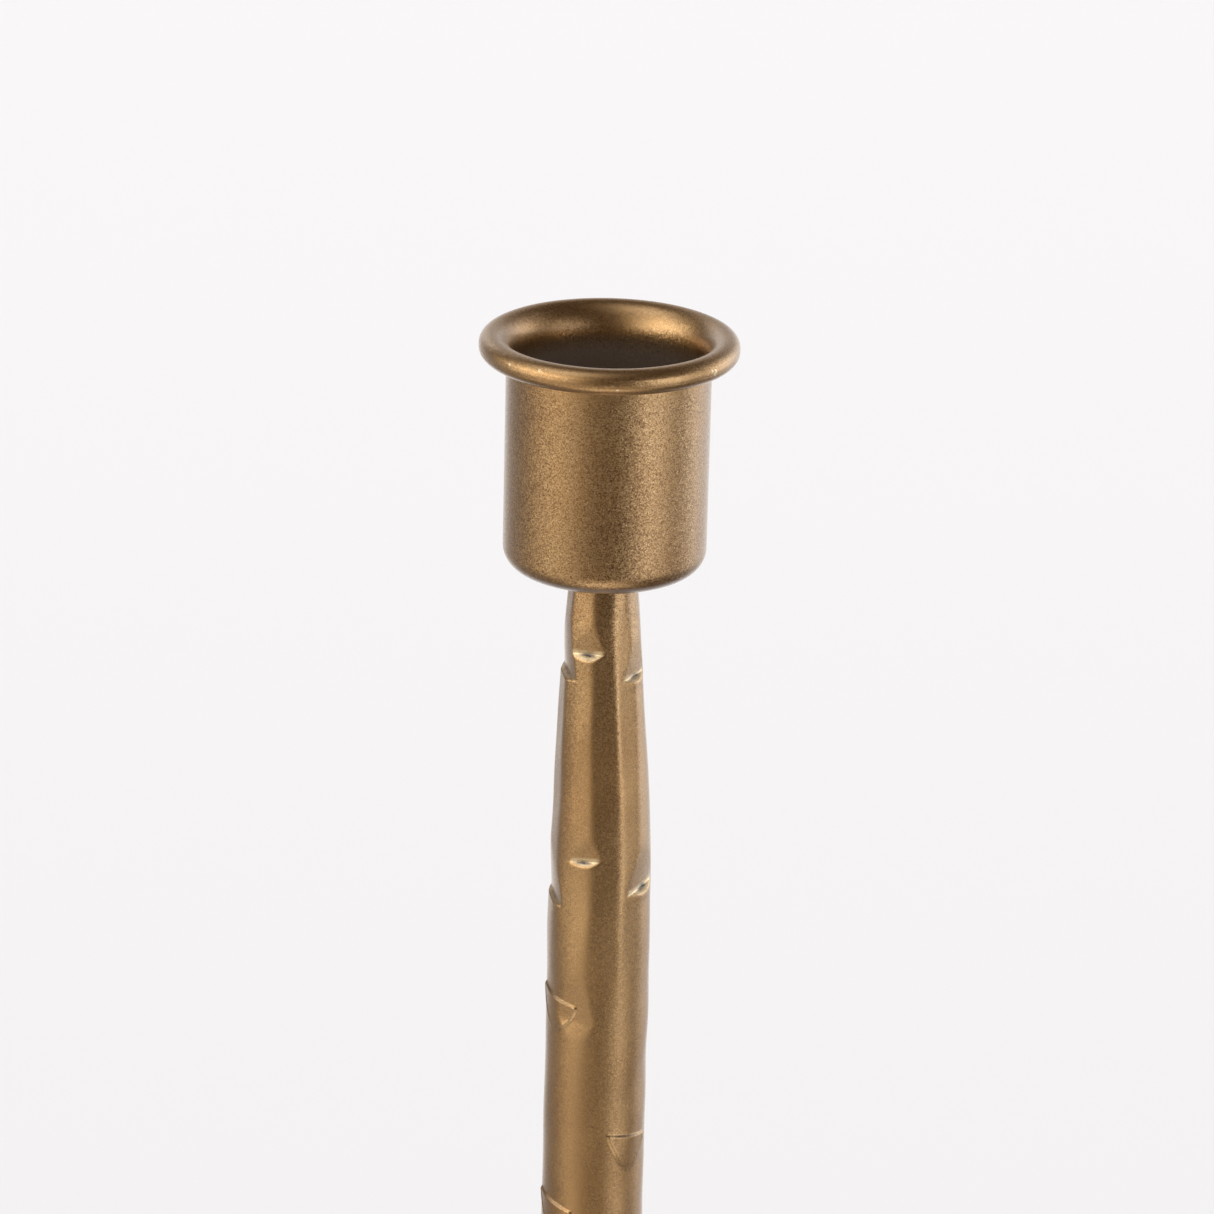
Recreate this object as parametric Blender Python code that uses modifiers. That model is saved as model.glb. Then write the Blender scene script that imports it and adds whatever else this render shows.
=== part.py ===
"""A taper candlestick for an altar or table, standing on its felt pad, +Z up, origin under the base.

The stem is a forged round bar, drawn down to a slender neck and nicked all over with a chisel. One screw
from below holds it to a heavy round base. A second screw, inside the cup, holds the pressed candle cup.
Angles round the stem are measured from the front (-Y), positive towards +X.
"""

import math
from collections import namedtuple

import bmesh
import bpy
from mathutils import Matrix, Vector

Screw = namedtuple("Screw", "thread head head_height length")  # the length is under the head
Washer = namedtuple("Washer", "inner outer thickness")
Notch = namedtuple("Notch", "depth ledge length")  # depth and ledge height at the crease, facet length

MM = 0.001
GAP = 0.25 * MM  # clearance between pieces that touch on the real object
OUTWARD = 4 * MM  # how far a cutter stands out of the surface it cuts

# Overall
HEIGHT = 300 * MM
ROUND_STEPS = 72  # segments of the large turned pieces
SMALL_STEPS = 32  # segments of screws and washers

# Felt pad
PAD_RADIUS = 51 * MM
PAD_THICKNESS = 2 * MM

# Base: a solid disc, low dome on top, with a raised seat for the stem
BASE_RADIUS = 55 * MM
BASE_BOTTOM = PAD_THICKNESS + GAP
BASE_EDGE_HEIGHT = 7 * MM
BASE_EDGE_ROUND = 2 * MM
BASE_CHAMFER = 0.8 * MM
BASE_DOME_RISE = 3 * MM
DOME_RINGS = 7
BASE_SEAT_RADIUS = 11 * MM
BASE_SEAT_RISE = 1.6 * MM
BASE_SEAT_ROUND = 1 * MM
BASE_SOCKET_DEPTH = 1.5 * MM  # the stem's foot stands in this socket
BASE_WEB = 2.5 * MM  # metal that the base screw clamps

# Candle cup: pressed sheet, its rim rolled outwards into a hollow bead
CUP_OUTER_RADIUS = 12.3 * MM
CUP_WALL = 1 * MM
CUP_FLOOR_ROUND = 2.7 * MM
RIM_BEAD_RADIUS = 1.55 * MM
RIM_BEAD_CENTRE = 14.1 * MM  # from the axis
RIM_CURL_END = -148  # degrees, where the sheet's edge stops under the bead
CUP_HEIGHT = 29.3 * MM

# Stem: half-inch bar
BAR_RADIUS = 6.35 * MM
NECK_RADIUS = 4.2 * MM
TAPER_LENGTH = 52 * MM
TAPER_POWER = 1.9
TAPER_RINGS = 9
STEM_STEPS = 60
FOOT_CHAMFER = 0.6 * MM

# Fasteners
CUP_SCREW = Screw(thread=4 * MM, head=8 * MM, head_height=2.4 * MM, length=12 * MM)
BASE_SCREW = Screw(thread=6 * MM, head=10.5 * MM, head_height=3.3 * MM, length=20 * MM)
CUP_FLAT_WASHER = Washer(inner=4.6 * MM, outer=9 * MM, thickness=0.8 * MM)
CUP_SPRING_WASHER = Washer(inner=4.6 * MM, outer=7.6 * MM, thickness=0.9 * MM)
BASE_FLAT_WASHER = Washer(inner=6.6 * MM, outer=14 * MM, thickness=1.4 * MM)
BASE_SPRING_WASHER = Washer(inner=6.6 * MM, outer=11.8 * MM, thickness=1.6 * MM)
THREAD_CLEARANCE = 0.3 * MM  # round a plain shank that stands for a thread
BASE_POCKET_RADIUS = 8 * MM
BASE_HEX_SIZE = 4 * MM  # across the flats
CROSS_WIDTH = 1.1 * MM
CROSS_LENGTH = 4.2 * MM
CROSS_DEPTH = 1.6 * MM
SPRING_SPLIT = 0.9 * MM
SPRING_SLANT = 25  # degrees

# Chisel notches, each a scooped facet that runs down to a crease, and a ledge that faces up
DEEP_NOTCH = Notch(depth=0.5 * MM, ledge=0.95 * MM, length=6 * MM)
SHALLOW_NOTCH = Notch(depth=0.25 * MM, ledge=0.4 * MM, length=3.5 * MM)
# On the neck: (angle in degrees, distance of the crease below the cup in mm)
NECK_NOTCHES = (
    (-22, 10.1), (57, 13.3), (-72, 13.2), (128, 11.6), (-146, 14.8),
    (-20, 36.4), (60, 40.8), (-70, 42.6), (131, 38.2), (-143, 44.0),
    (-18, 58.6), (126, 63.4),
)  # fmt: skip
# Down the bar: (angle in degrees, first crease below the cup in mm), repeated to the foot
BAR_COLUMNS = ((-55, 55.0), (52, 73.6), (141, 80.0), (-140, 66.0))
COLUMN_PITCH = 27 * MM
COLUMN_WANDER = 4  # degrees, how far a column's notches stray from its line
PLAIN_FOOT = 10 * MM  # bar without notches above the base

STEM_TOP = HEIGHT - CUP_HEIGHT - GAP
BASE_EDGE_TOP = BASE_BOTTOM + BASE_EDGE_HEIGHT
SEAT_TOP = BASE_EDGE_TOP + BASE_DOME_RISE + BASE_SEAT_RISE
STEM_BOTTOM = SEAT_TOP - BASE_SOCKET_DEPTH + GAP
WEB_BOTTOM = SEAT_TOP - BASE_SOCKET_DEPTH - BASE_WEB
CUP_BOTTOM = HEIGHT - CUP_HEIGHT
CUP_FLOOR = CUP_BOTTOM + CUP_WALL


def arc(centre_x, centre_z, radius, start, end, count):
    """Points of an arc in the XZ plane, angles in degrees."""
    points = []
    for i in range(count + 1):
        turn = math.radians(start + (end - start) * i / count)
        points.append((centre_x + radius * math.cos(turn), centre_z + radius * math.sin(turn)))
    return points


def bar_radius(below_cup):
    """Radius of the plain bar at this distance below the cup."""
    left = max(0.0, 1 - below_cup / TAPER_LENGTH)
    return BAR_RADIUS - (BAR_RADIUS - NECK_RADIUS) * left**TAPER_POWER


def clear_scene():
    for obj in list(bpy.data.objects):
        bpy.data.objects.remove(obj)


def new_collection(name):
    collection = bpy.data.collections.new(name)
    bpy.context.scene.collection.children.link(collection)
    return collection


def new_material(name, colour, metallic, roughness):
    material = bpy.data.materials.new(name)
    material.use_nodes = True
    shader = material.node_tree.nodes["Principled BSDF"]
    shader.inputs["Base Color"].default_value = (*colour, 1)
    shader.inputs["Metallic"].default_value = metallic
    shader.inputs["Roughness"].default_value = roughness
    return material


def turned(name, profile, closed, steps, collection, material):
    """A piece turned about Z from (radius, height) points that run down its outer side.

    A closed profile makes a ring, an open one starts and ends on the axis."""
    mesh = bpy.data.meshes.new(name)
    edges = [(i, i + 1) for i in range(len(profile) - 1)]
    if closed:
        edges.append((len(profile) - 1, 0))
    mesh.from_pydata([(x, 0, z) for x, z in profile], edges, [])
    obj = bpy.data.objects.new(name, mesh)
    collection.objects.link(obj)
    mesh.materials.append(material)
    screw = obj.modifiers.new("turn", "SCREW")
    screw.axis = "Z"
    screw.steps = steps
    screw.render_steps = steps
    screw.use_merge_vertices = True
    screw.merge_threshold = 0.00001
    screw.use_smooth_shade = True
    return obj


def as_cutter(obj):
    obj.hide_render = True
    obj.display_type = "WIRE"
    return obj


def cut(obj, cutter):
    """Takes the cutter, one object or a whole collection, out of the piece."""
    boolean = obj.modifiers.new("cut " + cutter.name, "BOOLEAN")
    boolean.operation = "DIFFERENCE"
    boolean.solver = "EXACT"
    if isinstance(cutter, bpy.types.Collection):
        boolean.operand_type = "COLLECTION"
        boolean.collection = cutter
    else:
        boolean.object = cutter


def prism(name, outline, half_width, matrix, collection):
    """A closed prism over a flat outline, which the matrix puts in place."""
    curve = bpy.data.curves.new(name, "CURVE")
    curve.dimensions = "2D"
    curve.fill_mode = "BOTH"
    curve.extrude = half_width
    spline = curve.splines.new("POLY")
    spline.points.add(len(outline) - 1)
    for point, (x, y) in zip(spline.points, outline):
        point.co = (x, y, 0, 1)
    spline.use_cyclic_u = True
    guide = bpy.data.objects.new(name + " outline", curve)
    bpy.context.scene.collection.objects.link(guide)
    bpy.context.view_layer.update()
    mesh = bpy.data.meshes.new_from_object(guide.evaluated_get(bpy.context.evaluated_depsgraph_get()))
    bpy.data.objects.remove(guide)
    weld = bmesh.new()
    weld.from_mesh(mesh)
    bmesh.ops.remove_doubles(weld, verts=weld.verts, dist=0.000001)
    bmesh.ops.recalc_face_normals(weld, faces=weld.faces)
    weld.to_mesh(mesh)
    weld.free()
    obj = bpy.data.objects.new(name, mesh)
    obj.matrix_world = matrix
    collection.objects.link(obj)
    return as_cutter(obj)


def box(name, size, matrix, collection):
    """A box of this size, centred on the matrix's place."""
    mesh = bpy.data.meshes.new(name)
    shape = bmesh.new()
    bmesh.ops.create_cube(shape, size=1, matrix=Matrix.Diagonal((*size, 1)))
    shape.to_mesh(mesh)
    shape.free()
    obj = bpy.data.objects.new(name, mesh)
    obj.matrix_world = matrix
    collection.objects.link(obj)
    return as_cutter(obj)


def rod(name, radius, bottom, top, sides, collection):
    """An upright cylinder or prism cutter on the axis."""
    mesh = bpy.data.meshes.new(name)
    shape = bmesh.new()
    place = Matrix.Translation((0, 0, (bottom + top) / 2))
    bmesh.ops.create_cone(
        shape, cap_ends=True, segments=sides, radius1=radius, radius2=radius, depth=top - bottom, matrix=place
    )
    shape.to_mesh(mesh)
    shape.free()
    obj = bpy.data.objects.new(name, mesh)
    collection.objects.link(obj)
    return as_cutter(obj)


def make_felt_pad(parts, felt):
    edge = 0.4 * MM
    profile = [
        (0, PAD_THICKNESS),
        (PAD_RADIUS - edge, PAD_THICKNESS),
        (PAD_RADIUS, PAD_THICKNESS - edge),
        (PAD_RADIUS, 0),
        (0, 0),
    ]
    turned("felt_pad", profile, False, ROUND_STEPS, parts, felt)


def make_base(parts, cutters, bronze):
    """A heavy disc. Its dome is one arc, from the edge's round to the foot of the seat."""
    dome_start = BASE_RADIUS - BASE_EDGE_ROUND
    dome = []
    for i in range(DOME_RINGS, 0, -1):
        share = i / DOME_RINGS
        rise = BASE_DOME_RISE * math.sin(share * math.pi / 2)
        dome.append((dome_start - (dome_start - BASE_SEAT_RADIUS) * share, BASE_EDGE_TOP + rise))
    seat_round = arc(
        BASE_SEAT_RADIUS - BASE_SEAT_ROUND, SEAT_TOP - BASE_SEAT_ROUND, BASE_SEAT_ROUND, 90, 0, 4
    )
    edge_round = arc(dome_start, BASE_EDGE_TOP - BASE_EDGE_ROUND, BASE_EDGE_ROUND, 90, 0, 5)
    bottom = [(BASE_RADIUS, BASE_BOTTOM + BASE_CHAMFER), (BASE_RADIUS - BASE_CHAMFER, BASE_BOTTOM)]
    profile = [(0, SEAT_TOP), *seat_round, *dome, *edge_round, *bottom, (0, BASE_BOTTOM)]
    base = turned("base", profile, False, ROUND_STEPS, parts, bronze)
    hole = BASE_SCREW.thread / 2 + THREAD_CLEARANCE
    cut(base, rod("socket cut", BAR_RADIUS + GAP, STEM_BOTTOM - GAP, SEAT_TOP + OUTWARD, 72, cutters))
    cut(base, rod("pocket cut", BASE_POCKET_RADIUS, BASE_BOTTOM - OUTWARD, WEB_BOTTOM, 48, cutters))
    cut(base, rod("base screw cut", hole, WEB_BOTTOM - MM, STEM_BOTTOM + MM, 36, cutters))


def stem_profile():
    """The plain bar, down its outer side: neck, taper, straight bar and chamfered foot."""
    profile = [(0, STEM_TOP)]
    for i in range(TAPER_RINGS + 1):
        below = TAPER_LENGTH * i / TAPER_RINGS
        profile.append((bar_radius(below), STEM_TOP - below))
    profile.append((BAR_RADIUS, STEM_BOTTOM + FOOT_CHAMFER))
    profile.append((BAR_RADIUS - FOOT_CHAMFER, STEM_BOTTOM))
    profile.append((0, STEM_BOTTOM))
    return profile


def notch_places():
    """Every notch: (angle in degrees, distance of its crease below the cup, its kind)."""
    places = [(angle, below * MM, DEEP_NOTCH) for angle, below in NECK_NOTCHES]
    for angle, first in BAR_COLUMNS:
        below = first * MM
        row = 0
        while STEM_TOP - below > SEAT_TOP + PLAIN_FOOT:
            places.append((angle + COLUMN_WANDER * math.sin(2.4 * row), below, SHALLOW_NOTCH))
            below += COLUMN_PITCH
            row += 1
    return places


def notch_cutter(name, angle, below, kind, collection):
    """A wedge with its inner edge along the crease, its facet above that and the ledge below."""
    crease = bar_radius(below) - kind.depth
    outline = [(crease, 0)]
    for share, left in ((0.4, 0.3), (1, -0.6)):
        outline.append((bar_radius(below - share * kind.length) - left * kind.depth, share * kind.length))
    outline.append((crease + OUTWARD, kind.length))
    outline.append((crease + OUTWARD, -kind.ledge * OUTWARD / kind.depth))
    turn = math.radians(angle)
    out = Vector((math.sin(turn), -math.cos(turn), 0))
    up = Vector((0, 0, 1))
    matrix = Matrix((out, up, out.cross(up))).transposed().to_4x4()
    matrix.translation = (0, 0, STEM_TOP - below)
    return prism(name, outline, BAR_RADIUS, matrix, collection)


def make_stem(parts, cutters, bronze):
    stem = turned("stem", stem_profile(), False, STEM_STEPS, parts, bronze)
    notches = new_collection("notch cutters")
    for i, (angle, below, kind) in enumerate(notch_places()):
        notch_cutter(f"notch {i}", angle, below, kind, notches)
    cut(stem, notches)
    top_hole = STEM_TOP - CUP_SCREW.length
    top_radius = CUP_SCREW.thread / 2 + THREAD_CLEARANCE
    cut(stem, rod("top tap", top_radius, top_hole, STEM_TOP + OUTWARD, 36, cutters))
    foot_hole = STEM_BOTTOM + BASE_SCREW.length - BASE_WEB
    foot_radius = BASE_SCREW.thread / 2 + THREAD_CLEARANCE
    cut(stem, rod("foot tap", foot_radius, STEM_BOTTOM - OUTWARD, foot_hole, 36, cutters))


def make_cup(parts, bronze):
    """One closed section: outside wall, hollow rolled bead, flared mouth, inside wall and floor."""
    hole = CUP_SCREW.thread / 2 + THREAD_CLEARANCE
    inner = CUP_OUTER_RADIUS - CUP_WALL
    bead_z = HEIGHT - RIM_BEAD_RADIUS
    flare = RIM_BEAD_CENTRE - inner
    flare_z = HEIGHT - flare
    curl_inside = RIM_BEAD_RADIUS - CUP_WALL
    floor_inner_round = CUP_FLOOR_ROUND - CUP_WALL
    floor_centre = CUP_OUTER_RADIUS - CUP_FLOOR_ROUND
    floor_z = CUP_BOTTOM + CUP_FLOOR_ROUND
    mouth = arc(RIM_BEAD_CENTRE, flare_z, flare, 180, 90, 5)
    bead = arc(RIM_BEAD_CENTRE, bead_z, RIM_BEAD_RADIUS, 90, RIM_CURL_END, 9)
    curl = arc(RIM_BEAD_CENTRE, bead_z, curl_inside, RIM_CURL_END, 90, 5)
    neck = arc(RIM_BEAD_CENTRE, flare_z, flare - CUP_WALL, 90, 180, 4)
    outer_floor = arc(floor_centre, floor_z, CUP_FLOOR_ROUND, 0, -90, 4)
    inner_floor = arc(floor_centre, floor_z, floor_inner_round, -90, 0, 3)
    underside = [(hole, CUP_BOTTOM), (hole, CUP_FLOOR)]
    profile = [*mouth[:-1], *bead, *curl, *neck[1:], *outer_floor, *underside, *inner_floor]
    turned("candle_cup", profile, True, ROUND_STEPS, parts, bronze)


def make_washer(name, sizes, bottom, parts, steel):
    inner = sizes.inner / 2
    outer = sizes.outer / 2
    top = bottom + sizes.thickness
    profile = [(inner, top), (outer, top), (outer, bottom), (inner, bottom)]
    return turned(name, profile, True, SMALL_STEPS, parts, steel)


def make_spring_washer(name, sizes, bottom, parts, cutters, steel):
    """A flattened lock washer, split across one side on a slant."""
    washer = make_washer(name, sizes, bottom, parts, steel)
    middle = (sizes.inner + sizes.outer) / 4
    place = Matrix.Translation((0, middle, bottom + sizes.thickness / 2))
    slant = Matrix.Rotation(math.radians(SPRING_SLANT), 4, "Y")
    size = (SPRING_SPLIT, OUTWARD, 3 * sizes.thickness)
    cut(washer, box(name + " split", size, place @ slant, cutters))


def screw_profile(sizes, seat, head_up):
    """Head with a flat crown, shank with a chamfered tip. The seat is the plane under the head."""
    side = 1 if head_up else -1
    head = sizes.head / 2
    thread = sizes.thread / 2
    tip = 0.3 * thread
    points = [
        (0, seat + side * sizes.head_height),
        (0.72 * head, seat + side * sizes.head_height),
        (0.93 * head, seat + side * 0.75 * sizes.head_height),
        (head, seat + side * 0.4 * sizes.head_height),
        (head, seat),
        (thread, seat),
        (thread, seat - side * (sizes.length - tip)),
        (thread - tip, seat - side * sizes.length),
        (0, seat - side * sizes.length),
    ]
    return points if head_up else points[::-1]


def make_cup_fastening(parts, cutters, steel):
    """Inside the cup, from the floor up: flat washer, spring washer, pan-head screw with a cross recess."""
    flat_bottom = CUP_FLOOR + GAP
    spring_bottom = flat_bottom + CUP_FLAT_WASHER.thickness + GAP
    seat = spring_bottom + CUP_SPRING_WASHER.thickness + GAP
    make_washer("cup_flat_washer", CUP_FLAT_WASHER, flat_bottom, parts, steel)
    make_spring_washer("cup_spring_washer", CUP_SPRING_WASHER, spring_bottom, parts, cutters, steel)
    screw = turned("cup_screw", screw_profile(CUP_SCREW, seat, True), False, SMALL_STEPS, parts, steel)
    top = seat + CUP_SCREW.head_height
    for turn in (0, 90):
        place = Matrix.Translation((0, 0, top)) @ Matrix.Rotation(math.radians(turn), 4, "Z")
        size = (CROSS_LENGTH, CROSS_WIDTH, 2 * CROSS_DEPTH)
        cut(screw, box(f"cross {turn}", size, place, cutters))


def make_base_fastening(parts, cutters, steel):
    """In the base's pocket, from the web down: flat washer, spring washer, screw with a hex socket."""
    flat_bottom = WEB_BOTTOM - GAP - BASE_FLAT_WASHER.thickness
    spring_bottom = flat_bottom - GAP - BASE_SPRING_WASHER.thickness
    seat = spring_bottom - GAP
    make_washer("base_flat_washer", BASE_FLAT_WASHER, flat_bottom, parts, steel)
    make_spring_washer("base_spring_washer", BASE_SPRING_WASHER, spring_bottom, parts, cutters, steel)
    screw = turned("base_screw", screw_profile(BASE_SCREW, seat, False), False, SMALL_STEPS, parts, steel)
    bottom = seat - BASE_SCREW.head_height
    corner = BASE_HEX_SIZE / math.sqrt(3)
    socket_end = bottom + 0.6 * BASE_SCREW.head_height
    cut(screw, rod("hex socket", corner, bottom - OUTWARD, socket_end, 6, cutters))


def main():
    clear_scene()
    parts = new_collection("altar candlestick")
    cutters = new_collection("cutters")
    bronze = new_material("antique brass lacquer", (0.36, 0.24, 0.11), 0.9, 0.38)
    steel = new_material("zinc-plated steel", (0.62, 0.6, 0.56), 1, 0.35)
    felt = new_material("felt", (0.03, 0.028, 0.026), 0, 0.95)
    make_felt_pad(parts, felt)
    make_base(parts, cutters, bronze)
    make_stem(parts, cutters, bronze)
    make_cup(parts, bronze)
    make_cup_fastening(parts, cutters, steel)
    make_base_fastening(parts, cutters, steel)


main()
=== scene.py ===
import math
from collections import namedtuple

import bmesh
import bpy
import numpy as np
from mathutils import Matrix, Vector


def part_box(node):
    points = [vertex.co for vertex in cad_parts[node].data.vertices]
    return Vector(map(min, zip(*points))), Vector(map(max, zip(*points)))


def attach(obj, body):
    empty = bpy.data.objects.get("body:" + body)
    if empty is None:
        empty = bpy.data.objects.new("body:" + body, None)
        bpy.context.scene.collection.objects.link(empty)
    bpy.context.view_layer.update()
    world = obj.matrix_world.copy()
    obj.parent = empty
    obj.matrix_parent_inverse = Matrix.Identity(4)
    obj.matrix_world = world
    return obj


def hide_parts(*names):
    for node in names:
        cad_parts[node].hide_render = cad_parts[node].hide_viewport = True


# Lengths are in millimetres until a mesh is made. Angles round the stem are measured from the front (-Y)
# towards +X, and depths are measured down from the underside of the cup.
MM = 0.001

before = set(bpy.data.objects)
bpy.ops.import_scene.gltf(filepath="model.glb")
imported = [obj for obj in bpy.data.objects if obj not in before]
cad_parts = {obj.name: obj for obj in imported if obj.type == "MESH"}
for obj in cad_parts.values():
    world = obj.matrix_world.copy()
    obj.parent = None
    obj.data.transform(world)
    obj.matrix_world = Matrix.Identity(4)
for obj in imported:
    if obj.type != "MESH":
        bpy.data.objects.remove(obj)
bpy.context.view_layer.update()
cup_low, cup_high = (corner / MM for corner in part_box("candle_cup"))
stem_low, stem_high = (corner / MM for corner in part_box("stem"))
base_low, base_high = (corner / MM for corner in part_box("base"))
pad_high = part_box("felt_pad")[1] / MM

HEIGHT = cup_high.z
CUP_BOTTOM = cup_low.z
RIM_RADIUS = cup_high.x
STEM_LENGTH = CUP_BOTTOM - stem_low.z
SEAT_DEPTH = CUP_BOTTOM - base_high.z  # where the stem enters the base
BAR_RADIUS = stem_high.x
BASE_RADIUS = base_high.x

# How strongly the flakes in the lacquer show: most on the cup, least far down the stem
CUP_SPARKLE = 1.0
RIM_SPARKLE = 0.45
NECK_SPARKLE = 0.85
FOOT_SPARKLE = 0.23
SPARKLE_FADE = 25
BASE_SPARKLE = 0.4


def smooth(low, high, value):
    """0 below low, 1 above high, and a smooth step between."""
    share = np.clip((value - low) / (high - low), 0, 1)
    return share * share * (3 - 2 * share)


def hump(value, width, power=2):
    """1 at zero, fading to nothing on both sides of it."""
    return np.exp(-((value / width) ** power))


# Meshes


def link(name, vertices, faces):
    """A smooth-shaded mesh from vertices in millimetres."""
    mesh = bpy.data.meshes.new(name)
    mesh.from_pydata((np.asarray(vertices) * MM).tolist(), [], faces)
    mesh.validate()
    shape = bmesh.new()
    shape.from_mesh(mesh)
    bmesh.ops.recalc_face_normals(shape, faces=shape.faces)
    shape.to_mesh(mesh)
    shape.free()
    mesh.polygons.foreach_set("use_smooth", [True] * len(mesh.polygons))
    obj = bpy.data.objects.new(name, mesh)
    bpy.context.scene.collection.objects.link(obj)
    return obj


def add_attribute(obj, name, values):
    attribute = obj.data.attributes.new(name, "FLOAT", "POINT")
    attribute.data.foreach_set("value", np.asarray(values, np.float32))


def grid_faces(rows, columns, closed_rows=False):
    """Quads between the rows of a grid whose columns go all the way round."""
    faces = []
    for i in range(rows if closed_rows else rows - 1):
        here = i * columns
        below = (i + 1) % rows * columns
        for j in range(columns):
            beside = (j + 1) % columns
            faces.append((here + j, below + j, below + beside, here + beside))
    return faces


def end_faces(rows, columns):
    """One many-sided face for each end of a grid whose rows aren't closed."""
    last = (rows - 1) * columns
    return [tuple(range(columns)), tuple(range(last + columns - 1, last - 1, -1))]


def full_turn(columns):
    return np.linspace(0, 2 * math.pi, columns, endpoint=False)


def revolve(name, profile, columns, closed, uneven):
    """A turned piece from the (radius, height) points of its outline, which is closed or open.

    uneven takes the angles and one point of the outline, and says how far out and up that ring moves."""
    turn = full_turn(columns)
    vertices = []
    for radius, height in profile:
        out, up = uneven(turn, radius, height)
        ring = np.empty((columns, 3))
        ring[:, 0] = (radius + out) * np.sin(turn)
        ring[:, 1] = -(radius + out) * np.cos(turn)
        ring[:, 2] = height + up
        vertices.append(ring)
    faces = grid_faces(len(profile), columns, closed)
    if not closed:
        faces += end_faces(len(profile), columns)
    return link(name, np.concatenate(vertices), faces)


def arc(centre_x, centre_z, radius, start, end, count):
    """Points on an arc, both ends included, from one angle to another in degrees."""
    turn = np.radians(np.linspace(start, end, count + 1))
    return [(centre_x + radius * math.cos(t), centre_z + radius * math.sin(t)) for t in turn]


def line(start, end, count):
    """Points from start up to but not including end."""
    return [tuple(np.array(start) + (np.array(end) - np.array(start)) * i / count) for i in range(count)]


def round_waves(turn, *terms):
    """A sum of sines round a piece, each given as how many to a turn, where it starts and how big it is."""
    return sum(size * np.sin(count * turn + phase) for count, phase, size in terms)


# Stem: a round bar drawn down to a neck, hammered, then cut and raised with a chisel

STEM_COLUMNS = 270
NECK_RADIUS = 4.0
TAPER_LENGTH = 52
TAPER_POWER = 1.9
SEAT_BLEND = 3  # height above the base over which the bar turns true

# The stem's rings are close together near each mark, and wider apart away from it.
FINE_STEP = 0.15
COARSE_STEP = 0.9
FINE_REACH = 1.6
FINE_CENTRE = 0.2  # above the mark's own depth
STEP_GROWTH = 0.25

# Dents all over the bar
WAVE_COUNT = 9
SLOWEST_WAVE = 0.4  # as a share of the fastest
FINE_DENTS = 0.035
BROAD_DENTS = 0.04

# The flats that the hammer left on the drawn neck: the way each faces at the cup, the way it faces further
# down, and how far out it stands
FLATS = (
    (-71, -76, 0.985), (-40, -46, 1), (-24, -26, 1), (2, 4, 0.99), (29, 40, 1), (56, 66, 1), (85, 92, 1),
    (114, 118, 1), (141, 141, 1), (167, 168, 1), (195, 194, 1), (222, 220, 1), (247, 246, 1),
)
FLAT_INSET = 0.988  # of a flat's middle, as a share of the round bar's radius
FLAT_WANDER = 1.8  # degrees that a flat swings either way
FLAT_SWELL = 0.007
FLATS_TURNED = 20  # depth by which the flats have turned from the way they face at the cup
FLATS_FULL = 40  # depth down to which the flats are at full strength
FLATS_END = 62  # depth where the bar is round again
LEAST_FACING = 0.05  # the least cosine that counts for a flat that faces away
RIDGE_SHARPNESS = 34
RIDGE_VARIATION = 0.45

# How far the stem strays sideways from its axis, and the depths between which it leaves it and comes back
BOW = 0.5
BOW_LEAVES = (2, 36)
BOW_RETURNS = (110, STEM_LENGTH - 20)

# A cut made with one chisel stroke: a flat facet that slopes in over a length, then a ledge that faces up.
# groove is the extra depth at the crease, burr the metal pushed out below, and worn how bright it is rubbed
# and how dark the painted shade in its crease is.
Cut = namedtuple("Cut", "angle depth facet groove length ledge burr tilt worn")
CUTS = (
    Cut(-23, 10.1, 0.38, 0.22, 5.5, 0.72, 0.04, -0.07, 1.0),
    Cut(61, 13.3, 0.52, 0.22, 8.0, 0.75, 0.06, -0.05, 0.8),
    Cut(-75, 13.3, 0.62, 0.08, 16.0, 0.45, 0.0, 0.10, 0.35),
    Cut(128, 11.6, 0.50, 0.24, 5.5, 0.95, 0.07, 0.0, 0.9),
    Cut(-146, 14.8, 0.50, 0.22, 6.0, 0.95, 0.08, 0.05, 0.6),
    Cut(-22, 36.7, 0.38, 0.20, 4.6, 0.75, 0.04, -0.12, 1.0),
    Cut(64, 40.8, 0.54, 0.22, 7.0, 0.75, 0.07, -0.08, 1.0),
    Cut(-76, 42.8, 0.50, 0.08, 9.0, 0.45, 0.0, 0.12, 0.35),
    Cut(131, 38.2, 0.50, 0.22, 6.0, 0.95, 0.08, 0.04, 0.8),
    Cut(-143, 44.0, 0.46, 0.22, 6.0, 0.95, 0.08, -0.04, 0.7),
    Cut(-25, 58.0, 0.30, 0.0, 7.5, 3.2, 0.0, 0.10, 0.0),
    Cut(126, 63.4, 0.38, 0.12, 8.0, 0.90, 0.08, 0.0, 0.4),
)
CUT_REACH = 1.1  # radians round the stem that a cut may reach
FACET_START = 0.15  # a facet starts this far outside the bar
FACET_CURVE = 0.8  # below 1, it goes in faster at its start
FACET_FLATNESS = 0.78  # 1 would be a true plane
LEAST_COSINE = 0.3  # the least that a cut's radius is divided by, far round the stem
GROOVE_WIDTH = 1.4
GROOVE_HEIGHT = 0.7  # the last part of a facet, where it turns in to the crease
LEDGE_CURVE = 0.85
LEDGE_END = 0.05  # a ledge ends this far outside its burr
BURR_WIDTH = 2.0
BURR_HEIGHT = 0.7
EDGE_ROUND = 0.03
EDGE_LOSS = 0.6  # of the rounding, taken off where two surfaces meet

# Where a cut is rubbed bright, from above its crease to the end of its ledge, and how deep it is by then
RUBBED_TOP = (-0.7, -0.4)
RUBBED_END = (-0.15, 0.2)
RUBBED_DEPTH = (0.02, 0.14)

# Painted shade: the dark line in a cut's crease
CREASE_STRENGTH = 1.7
CREASE_BELOW = 0.05
CREASE_HEIGHT = 0.15
CREASE_WIDTH = 1.0
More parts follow.
